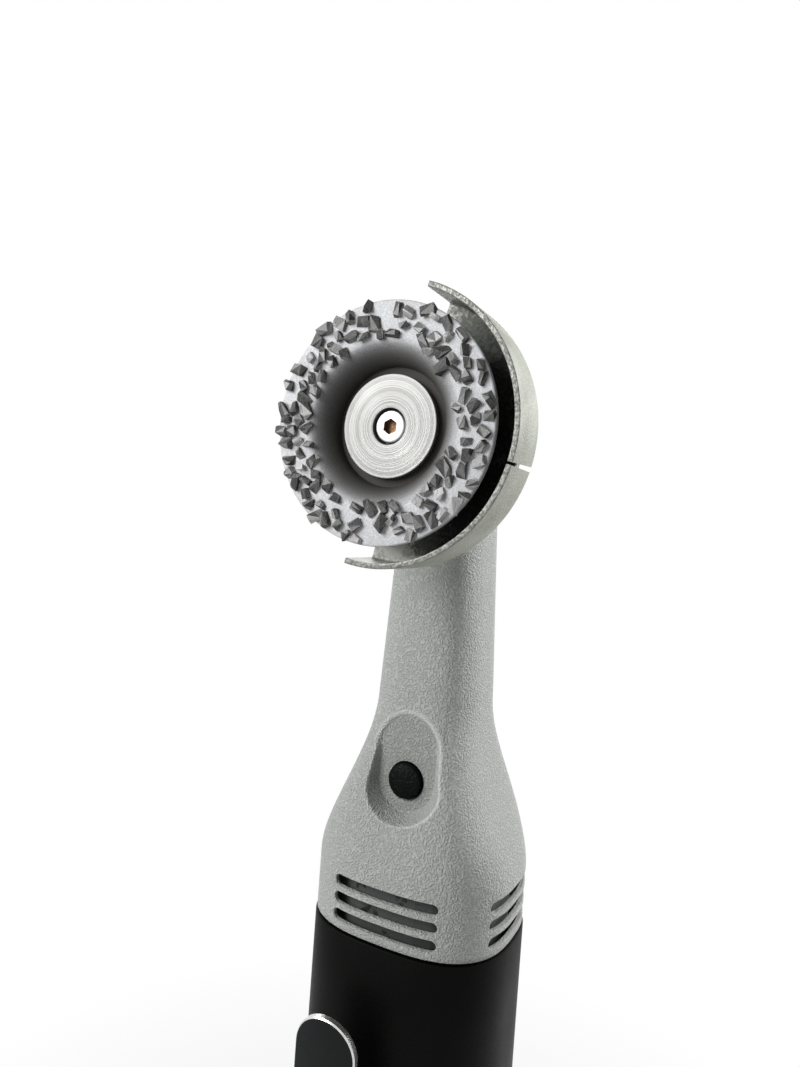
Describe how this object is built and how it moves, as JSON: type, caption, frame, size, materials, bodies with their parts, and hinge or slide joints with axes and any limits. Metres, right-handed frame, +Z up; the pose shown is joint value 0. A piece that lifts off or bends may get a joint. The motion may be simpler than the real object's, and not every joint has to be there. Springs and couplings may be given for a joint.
{
  "type": "right-angle nail grinder",
  "caption": "Powered right-angle hand grinder for trimming animal nails and hooves: dished chip-set disc on a long neck, swivelling guard, spindle lock button and lever switch on a boxy grip.",
  "frame": {"origin": "middle of the flat tail face, where the grip's long axis meets it", "axes": "+Z up the tool from the tail to the gear head, -Y the way the disc faces, +X to the right seen from the front"},
  "size_m": [0.0557, 0.0613, 0.2732],
  "materials": {
    "silver_casing": "cast, with a fine pebbled silver paint",
    "satin_black": "satin moulded",
    "gloss_black": "smooth moulded",
    "lever_black": "black painted sheet with bright cut edges",
    "galvanised_steel": "mottled zinc coat",
    "disc_steel": "satin silver plating with dark brazed chips",
    "turned_aluminium": "fine turned rings",
    "bright_steel": "ground",
    "dark_steel": "oiled black",
    "dark_grey_plastic": "moulded",
    "brass": "turned or pressed",
    "copper_winding": "copper",
    "ferrite": "pressed ferrite",
    "carbon": "pressed carbon",
    "wire_sheath": "insulated wire"
  },
  "bodies": {
    "housing": {"neck_housing": "silver_casing", "gear_plate": "silver_casing", "gear_plate_screw_1": "dark_steel", "gear_plate_screw_2": "dark_steel", "gear_plate_screw_3": "dark_steel", "gear_plate_screw_4": "dark_steel", "front_bearing": "bright_steel", "rear_bearing": "bright_steel", "pinion_bearing": "bright_steel", "lock_spring": "bright_steel", "lock_bridge": "bright_steel", "air_baffle": "dark_grey_plastic", "motor_front_plate": "dark_grey_plastic", "motor_front_bearing": "bright_steel", "motor_can": "bright_steel", "motor_end_bell": "dark_grey_plastic", "motor_rear_bearing": "bright_steel", "magnet_left": "ferrite", "magnet_right": "ferrite", "brush_holder_left": "brass", "brush_holder_right": "brass", "carbon_brush_left": "carbon", "carbon_brush_right": "carbon", "grip_body": "satin_black", "tail_cap": "satin_black", "tie_screw_1": "dark_steel", "tie_screw_2": "dark_steel", "tie_screw_3": "dark_steel", "tie_screw_4": "dark_steel", "power_inlet": "dark_grey_plastic", "supply_wire": "wire_sheath", "switched_wire": "wire_sheath", "return_wire": "wire_sheath", "lever_bracket": "dark_steel", "lever_pin": "bright_steel", "lever_spring": "bright_steel", "switch_body": "dark_grey_plastic"},
    "spindle": {"spindle": "bright_steel", "bevel_gear": "dark_steel", "inner_flange": "turned_aluminium", "grinding_disc": "disc_steel", "clamp_flange": "turned_aluminium", "clamp_screw": "bright_steel"},
    "drive": {"drive_shaft": "bright_steel", "bevel_pinion": "dark_steel", "lock_collar": "bright_steel", "shaft_coupling": "brass", "motor_shaft": "bright_steel", "cooling_fan": "dark_grey_plastic", "armature_core": "dark_steel", "armature_winding": "copper_winding", "commutator": "copper_winding"},
    "guard": {"guard": "galvanised_steel", "guard_collar": "galvanised_steel", "guard_collar_screw": "dark_steel"},
    "lock": {"lock_button": "gloss_black", "lock_pin": "bright_steel"},
    "lever": {"throttle_lever": "lever_black"},
    "plunger": {"switch_plunger": "dark_grey_plastic"}
  },
  "joints": [
    {"name": "drive_spin", "type": "hinge", "parent": "housing", "child": "drive", "pos_m": [0, 0, 0.1281], "axis": [0, 0, 1], "continuous": true},
    {"name": "spindle_spin", "type": "hinge", "parent": "housing", "child": "spindle", "pos_m": [0, 0, 0.2445], "axis": [0, -1, 0], "continuous": true},
    {"name": "guard_swivel", "type": "hinge", "parent": "housing", "child": "guard", "pos_m": [0, 0, 0.2445], "axis": [0, 1, 0], "range_deg": [-105, 75]},
    {"name": "lock_press", "type": "slide", "parent": "housing", "child": "lock", "axis": [0, 1, 0], "range_m": [0, 0.0024], "stiffness_N_per_m": 400, "springref_m": -0.001, "deforming": ["lock_spring"]},
    {"name": "lever_squeeze", "type": "hinge", "parent": "housing", "child": "lever", "pos_m": [-0.007, -0.0259, 0.0381], "axis": [-1, 0, 0], "range_deg": [0, 5], "stiffness_Nm_per_rad": 1, "springref_deg": -2.86, "deforming": ["lever_spring"]},
    {"name": "plunger_slide", "type": "slide", "parent": "housing", "child": "plunger", "axis": [0, 1, 0], "range_m": [0, 0.0018]}
  ],
  "couplings": [
    {"joint": "spindle_spin", "follows": "drive_spin", "ratio": 0.5},
    {"joint": "plunger_slide", "follows": "lever_squeeze", "m_per_rad": 0.02}
  ]
}
